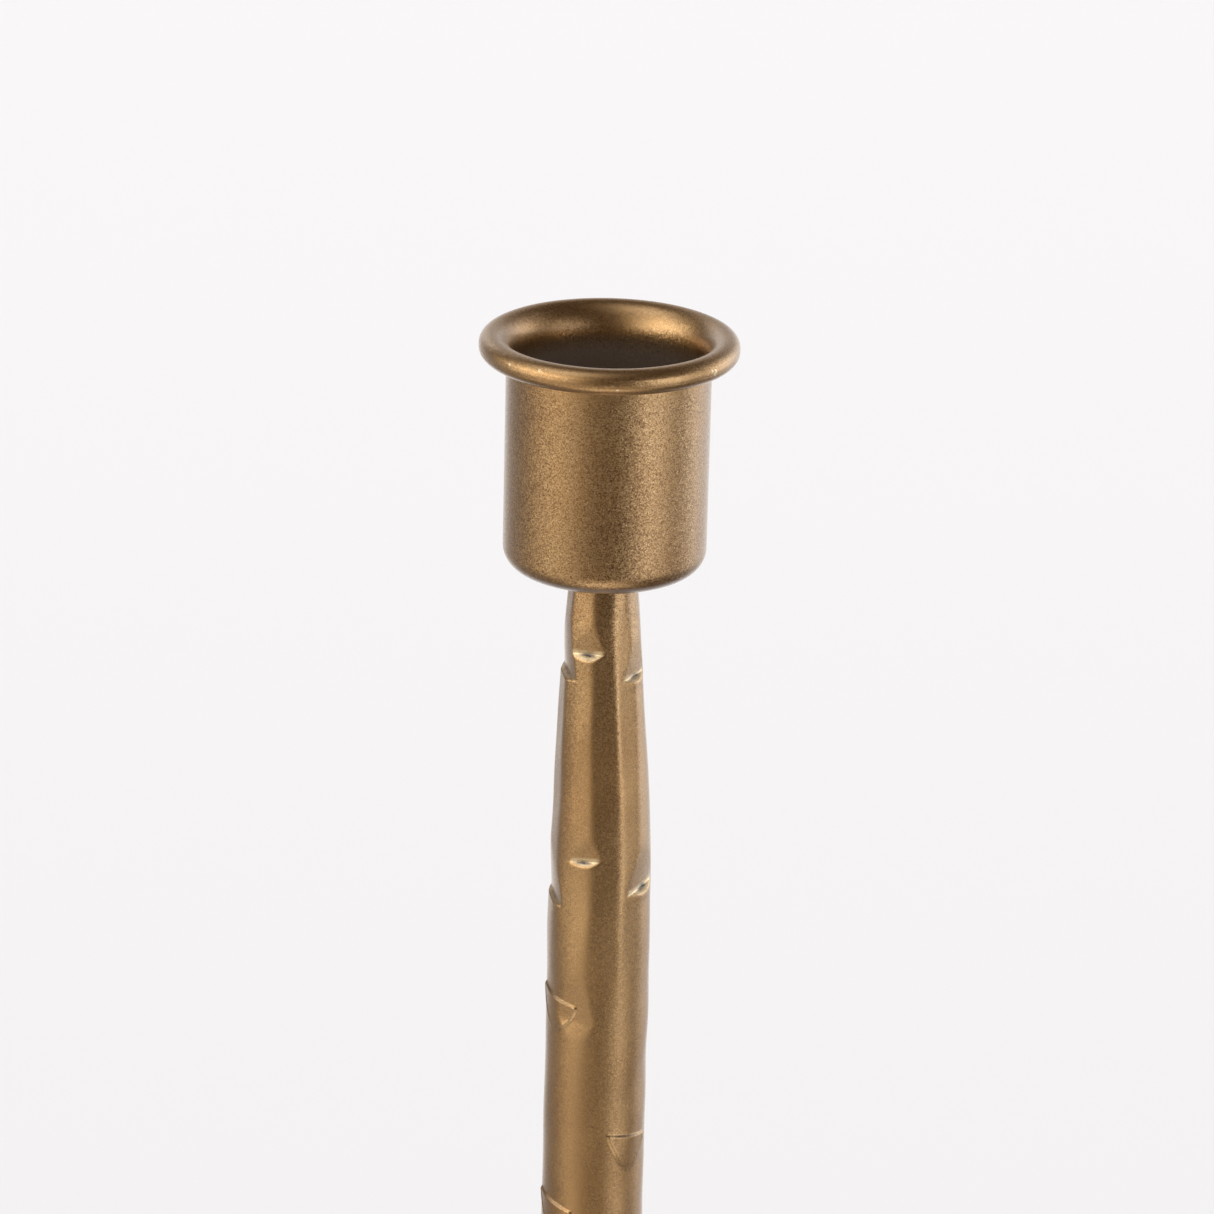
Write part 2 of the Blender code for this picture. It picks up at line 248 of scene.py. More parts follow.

# A scale: a lip of metal that the chisel raised, with a thin line of painted shade along its top and a point
# at its lower end.
# width is measured from its middle to its side. Each column's first is given by its angle, depth and tilt.
Scale = namedtuple("Scale", "angle depth width tilt")
FIRST_SCALES = ((-56, 55.3, 0.20), (44, 73.6, 0.18), (141, 80.0, 0.0), (-140, 66.0, -0.1))
MOST_ROWS = 12
SCALE_SEED = 5
SCALE_PITCH = 27
SCALE_DEPTH_SPREAD = (-1.5, 1.5)
SCALE_WIDTH = 3.1
SCALE_WIDTH_SPREAD = (-0.2, 0.3)
SCALE_WANDER = 4  # degrees that a column of scales swings either way
WANDER_STEP = 2.4
PLAIN_FOOT = 10  # height above the base that has no scales
SCALE_LENGTH = 4.6
SCALE_NARROWS = 0.8  # share of its width that is gone at the lower end
SCALE_POINT = 1.6
SCALE_RISE = 0.16
SCALE_FADE = 0.75  # share of its rise that is gone at the lower end
SCALE_SIDE = 0.12
SCALE_TOP = (-0.03, 0.15)
SCALE_END = (0.75, 1.1)  # as shares of its length
LINE_WIDTH = 0.8  # of the painted shade line along its top, and of the hollow above it, as a share of its width
HOLLOW_DEPTH = 0.07
HOLLOW_TOP = (-3.5, -0.2)
HOLLOW_END = (-0.05, 0.2)
RIDGE_RISE = 0.09
RIDGE_INSET = 0.15
RIDGE_WIDTH = 0.18
# Painted shade: the thin dark line along a scale's top
SCALE_CREASE_BELOW = 0.06
SCALE_CREASE_HEIGHT = 0.16
SCALE_CREASE_SHADE = 0.7
WORN_RIDGE_OUTSET = 0.02
WORN_RIDGE_WIDTH = 0.16
WORN_RIDGE = 0.25


def waves(angle, depth, seed, turns, pitch):
    """Smooth hand-made unevenness, about -1 to 1: sines of whole turns round the stem and uneven pitches."""
    rng = np.random.default_rng(seed)
    total = np.zeros(np.broadcast(angle, depth).shape)
    for _ in range(WAVE_COUNT):
        round_count = rng.integers(0, turns + 1)
        down = rng.uniform(SLOWEST_WAVE, 1) * 2 * math.pi / pitch
        total += np.sin(round_count * angle + down * depth + rng.uniform(0, 2 * math.pi))
    return total / math.sqrt(WAVE_COUNT)


def plain_radius(depth):
    """Radius of the round bar: drawn down under the cup, and even from the end of the taper on."""
    left = np.clip(1 - depth / TAPER_LENGTH, 0, 1)
    return BAR_RADIUS - (BAR_RADIUS - NECK_RADIUS) * left**TAPER_POWER


def scales():
    """Every scale down to the foot, column by column, each a little different."""
    rng = np.random.default_rng(SCALE_SEED)
    made = []
    for angle, first, tilt in FIRST_SCALES:
        for row in range(MOST_ROWS):
            depth = first + row * SCALE_PITCH + (rng.uniform(*SCALE_DEPTH_SPREAD) if row else 0)
            if depth > SEAT_DEPTH - PLAIN_FOOT:
                break
            stray = SCALE_WANDER * math.sin(WANDER_STEP * row)
            width = SCALE_WIDTH + rng.uniform(*SCALE_WIDTH_SPREAD)
            made.append(Scale(angle + stray, depth, width, tilt))
    return made


def stem_rows(places):
    """Depths of the stem's rings: close together across each ledge, wide apart between them."""
    rows = [0.0]
    while rows[-1] < STEM_LENGTH:
        depth = rows[-1]
        near = min(abs(depth - place + FINE_CENTRE) for place in places)
        step = min(COARSE_STEP, FINE_STEP + STEP_GROWTH * max(0, near - FINE_REACH))
        rows.append(depth + step)
    rows[-1] = STEM_LENGTH
    return np.array(rows)


def hammered(angle, depth):
    """Radius of the hammered flats as a share of the round bar's, with soft wandering ridges between them."""
    share = smooth(0, FLATS_TURNED, depth)
    sharpness = RIDGE_SHARPNESS * np.exp(RIDGE_VARIATION * waves(angle, depth, seed=21, turns=4, pitch=30))
    total = np.zeros(angle.shape)
    for i, (top, lower, stand) in enumerate(FLATS):
        swing = FLAT_WANDER * waves(0, depth, seed=30 + i, turns=0, pitch=35)
        facing = np.radians(top + (lower - top) * share + swing)
        inset = stand + FLAT_SWELL * waves(0, depth, seed=50 + i, turns=0, pitch=24)
        total += (np.maximum(np.cos(angle - facing), LEAST_FACING) / inset) ** sharpness
    return FLAT_INSET * total ** (-1 / sharpness)


def bar_radius(angle, depth):
    """Radius of the forged bar before it is cut: flats on its neck, and dents all over."""
    strength = 1 - smooth(FLATS_FULL, FLATS_END, depth)
    radius = plain_radius(depth) * (1 + (hammered(angle, depth) - 1) * strength)
    radius += FINE_DENTS * waves(angle, depth, seed=11, turns=5, pitch=9)
    radius += BROAD_DENTS * waves(angle, depth, seed=12, turns=3, pitch=30)
    return radius


def around(angle, radius, centre):
    """How far round the stem a point is from the centre angle, in radians and as a length."""
    away = (angle - math.radians(centre) + math.pi) % (2 * math.pi) - math.pi
    return away, away * radius


def soft_minimum(first, second):
    """The smaller of two radii, with a rounded change from one to the other."""
    return np.minimum(first, second) - EDGE_LOSS * EDGE_ROUND * np.exp(-np.abs(first - second) / EDGE_ROUND)


def cut_level(cut, depth, away, along, below):
    """Radius of a cut's own surface: in along the facet to the crease, then out again along the ledge."""
    outer = plain_radius(cut.depth)
    groove = cut.groove * hump(along, GROOVE_WIDTH)
    slope = np.clip((below + cut.length) / (cut.length - GROOVE_HEIGHT), 0, 1)
    facet = outer + FACET_START - (FACET_START + cut.facet) * slope**FACET_CURVE
    facet += (plain_radius(depth) - outer) * (1 - slope)
    facet -= groove * smooth(-GROOVE_HEIGHT, 0, below)
    lowest = outer - cut.facet - groove
    highest = outer + cut.burr + LEDGE_END
    ledge = lowest + (highest - lowest) * np.clip(below / cut.ledge, 0, 1) ** LEDGE_CURVE
    return np.where(below < 0, facet, ledge) / np.maximum(np.cos(FACET_FLATNESS * away), LEAST_COSINE)


def cut_notch(radius, wear, painted_shade, angle, depth, cut):
    """Cuts one chisel notch out of the stem's radius, marks where it is rubbed bright, and paints shade dark
    in its crease.
    """
    away, along = around(angle, radius, cut.angle)
    below = depth - cut.depth - cut.tilt * along
    near = (below > -cut.length) & (below < cut.ledge) & (np.abs(away) < CUT_REACH)
    burr = cut.burr * hump(along, BURR_WIDTH) * hump(below - cut.ledge, BURR_HEIGHT)
    radius = radius + burr * (below > 0)
    level = cut_level(cut, depth, away, along, below)
    cut_radius = np.where(near, soft_minimum(radius, level), radius)
    opened = smooth(*RUBBED_DEPTH, radius - cut_radius)
    on_ledge = smooth(*RUBBED_TOP, below) * (1 - smooth(*RUBBED_END, below - cut.ledge))
    wear = np.maximum(wear, cut.worn * on_ledge * opened)
    # Painted shade along the crease, as strong as the cut is rubbed
    crease = CREASE_STRENGTH * hump(below - CREASE_BELOW, CREASE_HEIGHT) * hump(along, CREASE_WIDTH)
    painted_shade = np.maximum(painted_shade, cut.worn * np.minimum(1, crease))
    return cut_radius, wear, painted_shade


def raise_scale(radius, wear, painted_shade, angle, depth, scale):
    """Raises one lip, with the shallow hollow above it, and paints a thin line of shade along its top."""
    along = around(angle, radius, scale.angle)[1]
    below = depth - scale.depth - scale.tilt * along
    share = np.clip(below / SCALE_LENGTH, 0, 1)
    half = scale.width * (1 - SCALE_NARROWS * share**SCALE_POINT)
    inside = 1 - smooth(-SCALE_SIDE, SCALE_SIDE, np.abs(along) - half)
    lip = SCALE_RISE * (1 - SCALE_FADE * share) * inside
    body = smooth(*SCALE_TOP, below) * (1 - smooth(*SCALE_END, below / SCALE_LENGTH))
    across = hump(along, LINE_WIDTH * scale.width, 4)
    hollow = HOLLOW_DEPTH * across * smooth(*HOLLOW_TOP, below) * (1 - smooth(*HOLLOW_END, below))
    ridge = RIDGE_RISE * hump(np.abs(along) - half + RIDGE_INSET, RIDGE_WIDTH)
    radius = radius + (lip + ridge) * body - hollow
    worn = body * hump(np.abs(along) - half - WORN_RIDGE_OUTSET, WORN_RIDGE_WIDTH)
    # Painted shade along the scale's top edge
    crease = across * hump(below - SCALE_CREASE_BELOW, SCALE_CREASE_HEIGHT)
    wear = np.maximum(wear, WORN_RIDGE * worn)
    painted_shade = np.maximum(painted_shade, SCALE_CREASE_SHADE * crease)
    return radius, wear, painted_shade


def bow(depth):
    """How far the stem's centre line strays to the right of its axis."""
    return BOW * smooth(*BOW_LEAVES, depth) * (1 - smooth(*BOW_RETURNS, depth))


def make_stem():
    marks = scales()
    rows = stem_rows([cut.depth for cut in CUTS] + [scale.depth for scale in marks])
    depth, angle = np.meshgrid(rows, full_turn(STEM_COLUMNS), indexing="ij")
    radius = bar_radius(angle, depth)
    wear = np.zeros(depth.shape)
    painted_shade = np.zeros(depth.shape)
    for cut in CUTS:
        radius, wear, painted_shade = cut_notch(radius, wear, painted_shade, angle, depth, cut)
    for scale in marks:
        radius, wear, painted_shade = raise_scale(radius, wear, painted_shade, angle, depth, scale)
    into_base = smooth(SEAT_DEPTH - SEAT_BLEND, SEAT_DEPTH, depth)
    radius = radius * (1 - into_base) + np.minimum(radius, BAR_RADIUS) * into_base
    x = bow(depth) + radius * np.sin(angle)
    y = -radius * np.cos(angle)
    z = CUP_BOTTOM - depth
    vertices = np.stack([x.ravel(), y.ravel(), z.ravel()], 1)
    faces = grid_faces(len(rows), STEM_COLUMNS) + end_faces(len(rows), STEM_COLUMNS)
    stem = link("forged_stem", vertices, faces)
    sparkle = FOOT_SPARKLE + (NECK_SPARKLE - FOOT_SPARKLE) * np.exp(-depth / SPARKLE_FADE)
    add_attribute(stem, "wear", wear.ravel())
    add_attribute(stem, "painted_shade", painted_shade.ravel())
    add_attribute(stem, "sparkle", sparkle.ravel())
    return stem


# Candle cup

ROUND_COLUMNS = 256
CUP_RADIUS = 12.3
CUP_WALL = 1.0
CUP_INSIDE = CUP_RADIUS - CUP_WALL
FLOOR_ROUND = 2.7
BEAD_RADIUS = 1.55
BEAD_CENTRE = RIM_RADIUS - BEAD_RADIUS
BEAD_END = -148  # degrees at which the rolled metal stops, under the bead
FLARE = BEAD_CENTRE - CUP_INSIDE
FLARE_Z = HEIGHT - FLARE
MOUTH_DEPTH = 4.5  # height over which the mouth opens out
MOUTH_Z = HEIGHT - MOUTH_DEPTH
SCREW_HOLE = 2.3

# The pressing's unevenness
UNEVEN_RIM = 8  # height from the rim down over which it grows
UNEVEN_SHARE = 0.6
RIM_WARP = 0.02
CREST = 0.06  # from the rim's widest ring in
CREST_DRAWN_IN = 0.05

# Where the lacquer differs
CHIPPED_EDGE = 0.3
RIM_SPARKLE_FROM = 6  # below the top
RIM_SPARKLE_FULL = 3
TARNISH_EDGE = 1.5


def cup_unevenness(turn, radius, height):
    """The pressing is round to a few hundredths, a little more uneven at its rolled rim."""
    rim = smooth(HEIGHT - UNEVEN_RIM, HEIGHT, height)
    out = round_waves(turn, (2, 0.7, 0.03), (3, 2, 0.02))
    ripple = round_waves(turn, (7, 1, 0.015), (11, 4, 0.012))
    if radius > RIM_RADIUS - CREST:
        out = out - CREST_DRAWN_IN
    return UNEVEN_SHARE * (out + rim * ripple), RIM_WARP * rim * (np.sin(2 * turn + 2) - 1)


def cup_profile():
    """The outline of the sheet: up the flared mouth, over the bead and back, down outside, and up inside."""
    floor_centre = CUP_RADIUS - FLOOR_ROUND
    floor_z = CUP_BOTTOM + FLOOR_ROUND
    floor_top = CUP_BOTTOM + CUP_WALL
    bead_z = HEIGHT - BEAD_RADIUS
    flare = arc(BEAD_CENTRE, FLARE_Z, FLARE, 180, 90, count=26)
    mouth = [(radius, MOUTH_Z + (height - FLARE_Z) * MOUTH_DEPTH / FLARE) for radius, height in flare]
    bead = arc(BEAD_CENTRE, bead_z, BEAD_RADIUS, 90, BEAD_END, count=44)
    curl = arc(BEAD_CENTRE, bead_z, BEAD_RADIUS - CUP_WALL, BEAD_END, 90, count=24)
    neck = arc(BEAD_CENTRE, FLARE_Z, FLARE - CUP_WALL, 90, 180, count=14)
    outer_wall = line((CUP_RADIUS, FLARE_Z), (CUP_RADIUS, floor_z), count=16)
    outer_floor = arc(floor_centre, floor_z, FLOOR_ROUND, 0, -90, count=20)
    underside = line((floor_centre, CUP_BOTTOM), (SCREW_HOLE, CUP_BOTTOM), count=6)
    inside_floor = line((SCREW_HOLE, floor_top), (floor_centre, floor_top), count=6)
    inner_floor = arc(floor_centre, floor_z, FLOOR_ROUND - CUP_WALL, -90, 0, count=14)
    inner_wall = line((CUP_INSIDE, floor_z), (CUP_INSIDE, MOUTH_Z), count=16)
    profile = [*mouth[:-1], *bead, *curl, *neck[1:-1], *outer_wall, *outer_floor[:-1], *underside]
    profile += [(SCREW_HOLE, CUP_BOTTOM), *inside_floor, *inner_floor[:-1], *inner_wall]
    return profile


def make_cup():
    profile = cup_profile()
    cup = revolve("pressed_cup", profile, ROUND_COLUMNS, closed=True, uneven=cup_unevenness)
    out = np.repeat([radius for radius, _ in profile], ROUND_COLUMNS)
    up = np.repeat([height for _, height in profile], ROUND_COLUMNS)
    near_rim = smooth(HEIGHT - RIM_SPARKLE_FROM, HEIGHT - RIM_SPARKLE_FULL, up)
    inside = (out < CUP_INSIDE + CUP_WALL / 2) & (up > CUP_BOTTOM + CUP_WALL / 2)
    below_mouth = 1 - smooth(MOUTH_Z - TARNISH_EDGE, MOUTH_Z + TARNISH_EDGE, up)
    add_attribute(cup, "chips", smooth(BEAD_CENTRE, RIM_RADIUS - CHIPPED_EDGE, out))
    add_attribute(cup, "sparkle", CUP_SPARKLE - (CUP_SPARKLE - RIM_SPARKLE) * near_rim)
    add_attribute(cup, "tarnish", inside * below_mouth)
    return cup


# Base

EDGE_HEIGHT = 7
EDGE_ROUNDING = 2
FOOT_ROUNDING = 0.8
DOME_RISE = 3
SEAT_RADIUS = 11
SEAT_ROUNDING = 1
SEAT_FILLET = 0.5
POCKET_RADIUS = 8
POCKET_ROOF = 4  # below the top of the seat
SOCKET_RADIUS = BAR_RADIUS + 0.25
SOCKET_DEPTH = 1.5
SOCKET_ROUNDING = 0.2
BASE_SCREW_HOLE = 3.3

# Faint rings from turning and waves from casting, on the upper side only
RING_HEIGHT = 0.012
RING_RATE = 0.9
RING_SWAY = 0.6
CAST_HEIGHT = 0.02
CAST_RATE = 0.13
UPPER_SIDE = 3  # reaches this far below the edge's height
SUNK = 0.05  # keeps the waves below the CAD's surface


def base_profile(bottom_z, edge_z, seat_z):
    """The outline from the socket over the seat, the dome and the edge to the pocket underneath."""
    run = BASE_RADIUS - EDGE_ROUNDING - SEAT_RADIUS
    dome = []
    for share in np.linspace(1, 0, 60):
        rise = DOME_RISE * math.sin(share * math.pi / 2)
        dome.append((BASE_RADIUS - EDGE_ROUNDING - run * share, edge_z + rise))
    lip_z = seat_z - SOCKET_ROUNDING
    seat = [(SOCKET_RADIUS, lip_z)]
    seat += arc(SOCKET_RADIUS + SOCKET_ROUNDING, lip_z, SOCKET_ROUNDING, 180, 90, count=3)
    seat += arc(SEAT_RADIUS - SEAT_ROUNDING, seat_z - SEAT_ROUNDING, SEAT_ROUNDING, 90, 0, count=10)
    fillet_z = edge_z + DOME_RISE + SEAT_FILLET
    fillet = arc(SEAT_RADIUS + SEAT_FILLET, fillet_z, SEAT_FILLET, 180, 270, count=4)
    side_top = edge_z - EDGE_ROUNDING
    side_end = bottom_z + FOOT_ROUNDING
    foot_radius = BASE_RADIUS - FOOT_ROUNDING
    edge = arc(BASE_RADIUS - EDGE_ROUNDING, side_top, EDGE_ROUNDING, 90, 0, count=16)
    side = line((BASE_RADIUS, side_top), (BASE_RADIUS, side_end), count=6)
    foot = arc(foot_radius, side_end, FOOT_ROUNDING, 0, -90, count=6)
    under = line((foot_radius, bottom_z), (POCKET_RADIUS, bottom_z), count=8)
    pocket_z = seat_z - POCKET_ROOF
    socket_z = seat_z - SOCKET_DEPTH
    inside = [(POCKET_RADIUS, bottom_z), (POCKET_RADIUS, pocket_z), (BASE_SCREW_HOLE, pocket_z)]
    inside += [(BASE_SCREW_HOLE, socket_z), (SOCKET_RADIUS, socket_z)]
    return [*seat, *fillet, *dome[1:-1], *edge, *side[1:], *foot, *under[1:], *inside]


def make_base():
    """Follows the CAD disc's own outline, with finer rounds and the faint waves of a cast and turned disc."""
    edge_z = base_low.z + EDGE_HEIGHT

    def uneven(turn, radius, height):
        upper = radius > SEAT_RADIUS + 1 and height > edge_z - UPPER_SIDE
        rings = RING_HEIGHT * np.sin(RING_RATE * radius + RING_SWAY * np.sin(2 * turn))
        cast = CAST_HEIGHT * np.sin(3 * turn + CAST_RATE * radius)
        return 0, upper * (rings + cast - SUNK)

    profile = base_profile(base_low.z, edge_z, base_high.z)
    base = revolve("base_disc", profile, ROUND_COLUMNS, closed=True, uneven=uneven)
    add_attribute(base, "sparkle", np.full(len(base.data.vertices), BASE_SPARKLE))
    return base


# Screws and washers, each in the place and size of the CAD node that it stands for

SCREW_COLUMNS = 120
RECESS_SIDE = 0.08
RECESS_TAPER = 0.3
CROSS_WIDTH = 1.1
CROSS_LENGTH = 4.2
CROSS_END = (-0.2, 0.1)
HEX_SIZE = 4.0  # across the flats
CROWN = 0.72  # flat part of the head, as a share of its radius
CROWN_START = 0.04
CROWN_STEP = 0.09
SHOULDER_DROP = 0.6  # as a share of the head's height
CHAMFER = 0.1
THREAD_DEPTH = 0.6  # of the pitch
RINGS_PER_PITCH = 10
TIP_LENGTH = 0.6
AT_CROWN = 0.01  # a point nearer than this to the crown's height is on it


def inside_of(half, away):
    """1 nearer than half, 0 further, with the slightly sloping side of a recess between."""
    return 1 - smooth(half - RECESS_SIDE, half + RECESS_SIDE, np.abs(away))


def cross_arm(across, along):
    return inside_of(CROSS_WIDTH / 2, across) * (1 - smooth(*CROSS_END, np.abs(along) - CROSS_LENGTH / 2))


def cross_recess(x, y):
    """1 inside a cross, 0 outside."""
    return np.maximum(cross_arm(x, y), cross_arm(y, x))


def hex_recess(x, y):
    """1 inside a hexagon, 0 outside."""
    across = np.zeros(x.shape)
    for turn in np.radians((0, 60, 120)):
        across = np.maximum(across, np.abs(x * math.cos(turn) + y * math.sin(turn)))
    return inside_of(HEX_SIZE / 2, across)


# facing is 1 where the head is on top and -1 where it is underneath.
Screw = namedtuple("Screw", "head head_height thread pitch facing recess recess_depth")
CUP_SCREW = Screw(
    head=8, head_height=2.4, thread=4, pitch=0.7, facing=1, recess=cross_recess, recess_depth=1.6
)
BASE_SCREW = Screw(
    head=10.5, head_height=3.3, thread=6, pitch=1, facing=-1, recess=hex_recess, recess_depth=2
)


def screw_outline(screw, length):
    """Points from the middle of the crown to the tip, as (radius, distance from the crown)."""
    head = screw.head / 2
    thread = screw.thread / 2
    under = screw.head_height
    outline = [(radius, 0.0) for radius in np.arange(CROWN_START, CROWN * head, CROWN_STEP)]
    for turn in np.linspace(0, math.pi / 2, 12):
        reach = CROWN + (1 - CROWN) * math.sin(turn)
        outline.append((head * reach, SHOULDER_DROP * under * (1 - math.cos(turn))))
    outline += [(head, under - CHAMFER), (head - CHAMFER, under), (thread, under)]
    for down in np.arange(under + CHAMFER, length - TIP_LENGTH, screw.pitch / RINGS_PER_PITCH):
        outline.append((thread, down))
    outline += [(thread - TIP_LENGTH / 2, length - TIP_LENGTH / 2), (thread - TIP_LENGTH, length)]
    outline.append((CHAMFER, length))
    return outline


def make_screw(name, cad, screw):
    """Head with its recess, painted with shade inside, and a rolled thread."""
    low, high = (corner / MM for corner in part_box(cad))
    crown_z = high.z if screw.facing > 0 else low.z
    length = high.z - low.z
    profile = [(radius, crown_z - screw.facing * down) for radius, down in screw_outline(screw, length)]
    profile = profile[:: screw.facing]

    def sunk(turn, radius, height):
        on_crown = abs(height - crown_z) < AT_CROWN
        return on_crown * screw.recess(radius * np.sin(turn), radius * np.cos(turn))

    def uneven(turn, radius, height):
        down = abs(height - crown_z)
        if down < AT_CROWN:
            depth = screw.recess_depth * (1 - RECESS_TAPER * radius / (screw.head / 2))
            return 0, -screw.facing * depth * sunk(turn, radius, height)
        if screw.head_height < down < length - TIP_LENGTH / 2:
            phase = (height / screw.pitch - turn / (2 * math.pi)) % 1
            return -THREAD_DEPTH * screw.pitch * np.abs(2 * phase - 1), 0
        return 0, 0

    piece = revolve(name, profile, SCREW_COLUMNS, closed=False, uneven=uneven)
    turn = full_turn(SCREW_COLUMNS)
    # Painted shade over the recess, so that it reads dark
    add_attribute(piece, "painted_shade", np.concatenate([sunk(turn, *point) for point in profile]))
    return piece


CUP_WASHER_HOLE = 4.6
BASE_WASHER_HOLE = 6.6
FLAT_WASHER_COLUMNS = 128
FLAT_WASHER_ROUND = 0.15
FLAT_WASHER_INSET = 0.03
FLAT_WASHER_LIFT = 0.04
FLAT_WASHER_SUNK = 0.02
LOCK_WASHER_RINGS = 97
LOCK_WASHER_ROUND = 0.12
LOCK_WASHER_INSET = 0.06
SPLIT = 0.9  # width of the gap
SLANT = 0.45  # how far the gap leans, as a slope
SPRING = 0.05  # how far each end is sprung up or down


def ring_section(inner, outer, bottom, top, rounding):
    """The outline of a washer's metal, with rounded corners, outer side first."""
    corners = (
        (outer - rounding, top - rounding, 90, 0),
        (outer - rounding, bottom + rounding, 0, -90),
        (inner + rounding, bottom + rounding, -90, -180),
        (inner + rounding, top - rounding, 180, 90),
    )
    section = []
    for x, z, start, end in corners:
        section += arc(x, z, rounding, start, end, count=4)
    return section


def make_flat_washer(name, cad, inner):
    """A punched washer, very slightly out of round and out of flat."""
    low, high = (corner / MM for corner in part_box(cad))

    def uneven(turn, radius, height):
        return round_waves(turn, (5, radius, 0.02)), round_waves(turn, (2, 1, -0.015)) - FLAT_WASHER_SUNK

    outer = high.x - FLAT_WASHER_INSET
    section = ring_section(inner / 2, outer, low.z + FLAT_WASHER_LIFT, high.z, FLAT_WASHER_ROUND)
    return revolve(name, section, FLAT_WASHER_COLUMNS, closed=True, uneven=uneven)


def make_spring_washer(name, cad, inner):
    """A hardened ring, split on a slant at the back, its two ends sprung a little apart."""
    low, high = (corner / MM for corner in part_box(cad))
    bottom = low.z + LOCK_WASHER_INSET
    top = high.z - LOCK_WASHER_INSET
    section = np.array(ring_section(inner / 2, high.x, bottom, top, LOCK_WASHER_ROUND))
    out, up = section.T
    half_gap = SPLIT / (inner / 2 + high.x)
    slant = SLANT * (up - (low.z + high.z) / 2) / high.x
    rings = []
    for share in np.linspace(-1, 1, LOCK_WASHER_RINGS):
        turn = share * (math.pi - half_gap) + slant
        spring = SPRING * share**3
        rings.append(np.stack([out * np.sin(turn), -out * np.cos(turn), up + spring], 1))
    faces = grid_faces(len(rings), len(section)) + end_faces(len(rings), len(section))
    return link(name, np.concatenate(rings), faces)


# Felt pad

FELT_COLUMNS = 360
FELT_MIDDLE = 0.5  # radius of the innermost ring
FELT_TOP_ROUND = 0.6
FELT_FOOT_ROUND = 0.5
FELT_TRIM = 0.13
FELT_RAGGED = 0.04
FELT_LUMPS = 0.05


def make_felt():
    """A die-cut felt disc with a slightly ragged edge, pressed flat under the base."""
    radius = pad_high.x
    thick = pad_high.z
    rows = np.linspace(FELT_MIDDLE, radius - FELT_TOP_ROUND, 40)
    profile = [(row, thick) for row in rows]
    profile += arc(radius - FELT_TOP_ROUND, thick - FELT_TOP_ROUND, FELT_TOP_ROUND, 80, 0, count=5)
    profile += arc(radius - FELT_FOOT_ROUND, FELT_FOOT_ROUND, FELT_FOOT_ROUND, 0, -80, count=5)
    profile += [(row, 0.0) for row in rows[::-1]]

    def uneven(turn, out, height):
        edge = smooth(radius - 1, radius, out)
        ragged = round_waves(turn, (61, 5 * height, 1), (97, 3, 1), (149, 9 * height, 1))
        lumps = 0.5 + round_waves(turn, (9, 0.4 * out, 0.25), (14, -0.7 * out, 0.25))
        inward = 1 if height < thick / 2 else -1
        return edge * (FELT_RAGGED * ragged - FELT_TRIM), FELT_LUMPS * inward * lumps

    return revolve("felt_disc", profile, FELT_COLUMNS, closed=False, uneven=uneven)


# Nodes


def node(tree, kind, **values):
    made = tree.nodes.new(kind)
    for name, value in values.items():
        setattr(made, name, value)
    return made


def put(tree, socket, value):
    """Feeds a socket from another one, or sets it to a plain number or vector."""
    if isinstance(value, bpy.types.NodeSocket):
        tree.links.new(value, socket)
    else:
        socket.default_value = value


def math_node(tree, operation, *values):
    made = node(tree, "ShaderNodeMath", operation=operation)
    for socket, value in zip(made.inputs, values):
        put(tree, socket, value)
    return made.outputs[0]


def vector_node(tree, operation, *values):
    made = node(tree, "ShaderNodeVectorMath", operation=operation)
    for socket, value in zip(made.inputs, values):
        put(tree, socket, value)
    return made.outputs["Vector"]


def scaled_vector(tree, vector, scale):
    made = node(tree, "ShaderNodeVectorMath", operation="SCALE")
    put(tree, made.inputs["Vector"], vector)
    put(tree, made.inputs["Scale"], scale)
    return made.outputs["Vector"]


def noise(tree, place, scale, detail, roughness=0.5):
    made = node(tree, "ShaderNodeTexNoise")
    made.inputs["Scale"].default_value = scale
    made.inputs["Detail"].default_value = detail
    made.inputs["Roughness"].default_value = roughness
    tree.links.new(place, made.inputs["Vector"])
    return made.outputs["Fac"]


def remap(tree, value, before, after):
    """Takes one range of values to another, and holds at its ends."""
    made = node(tree, "ShaderNodeMapRange")
    for name, number in zip(("From Min", "From Max", "To Min", "To Max"), (*before, *after)):
        made.inputs[name].default_value = number
    tree.links.new(value, made.inputs["Value"])
    return made.outputs["Result"]


def mix_colour(tree, share, first, second):
    """A mix of two colours, each a socket or a plain colour, by a share from 0 to 1."""
    made = node(tree, "ShaderNodeMix", data_type="RGBA")
    tree.links.new(share, made.inputs["Factor"])
    sockets = [socket for socket in made.inputs if socket.type == "RGBA"]
    for socket, value in zip(sockets, (first, second)):
        put(tree, socket, (*value, 1) if isinstance(value, tuple) else value)
    return next(socket for socket in made.outputs if socket.type == "RGBA")


def attribute(tree, name):
    return node(tree, "ShaderNodeAttribute", attribute_name=name).outputs["Fac"]


def bumped(tree, height, strength, distance):
    """The surface normal over small bumps, whose height is up to distance in metres."""
    bump = node(tree, "ShaderNodeBump")
    bump.inputs["Strength"].default_value = strength
    bump.inputs["Distance"].default_value = distance
    tree.links.new(height, bump.inputs["Height"])
    return bump.outputs["Normal"]


def new_material(name):
    """A material with its node tree, its shader and the place on the object that its textures are read at."""
    material = bpy.data.materials.new(name)
    material.use_nodes = True
    tree = material.node_tree
    place = node(tree, "ShaderNodeTexCoord").outputs["Object"]
    return material, tree, tree.nodes["Principled BSDF"], place


# Materials

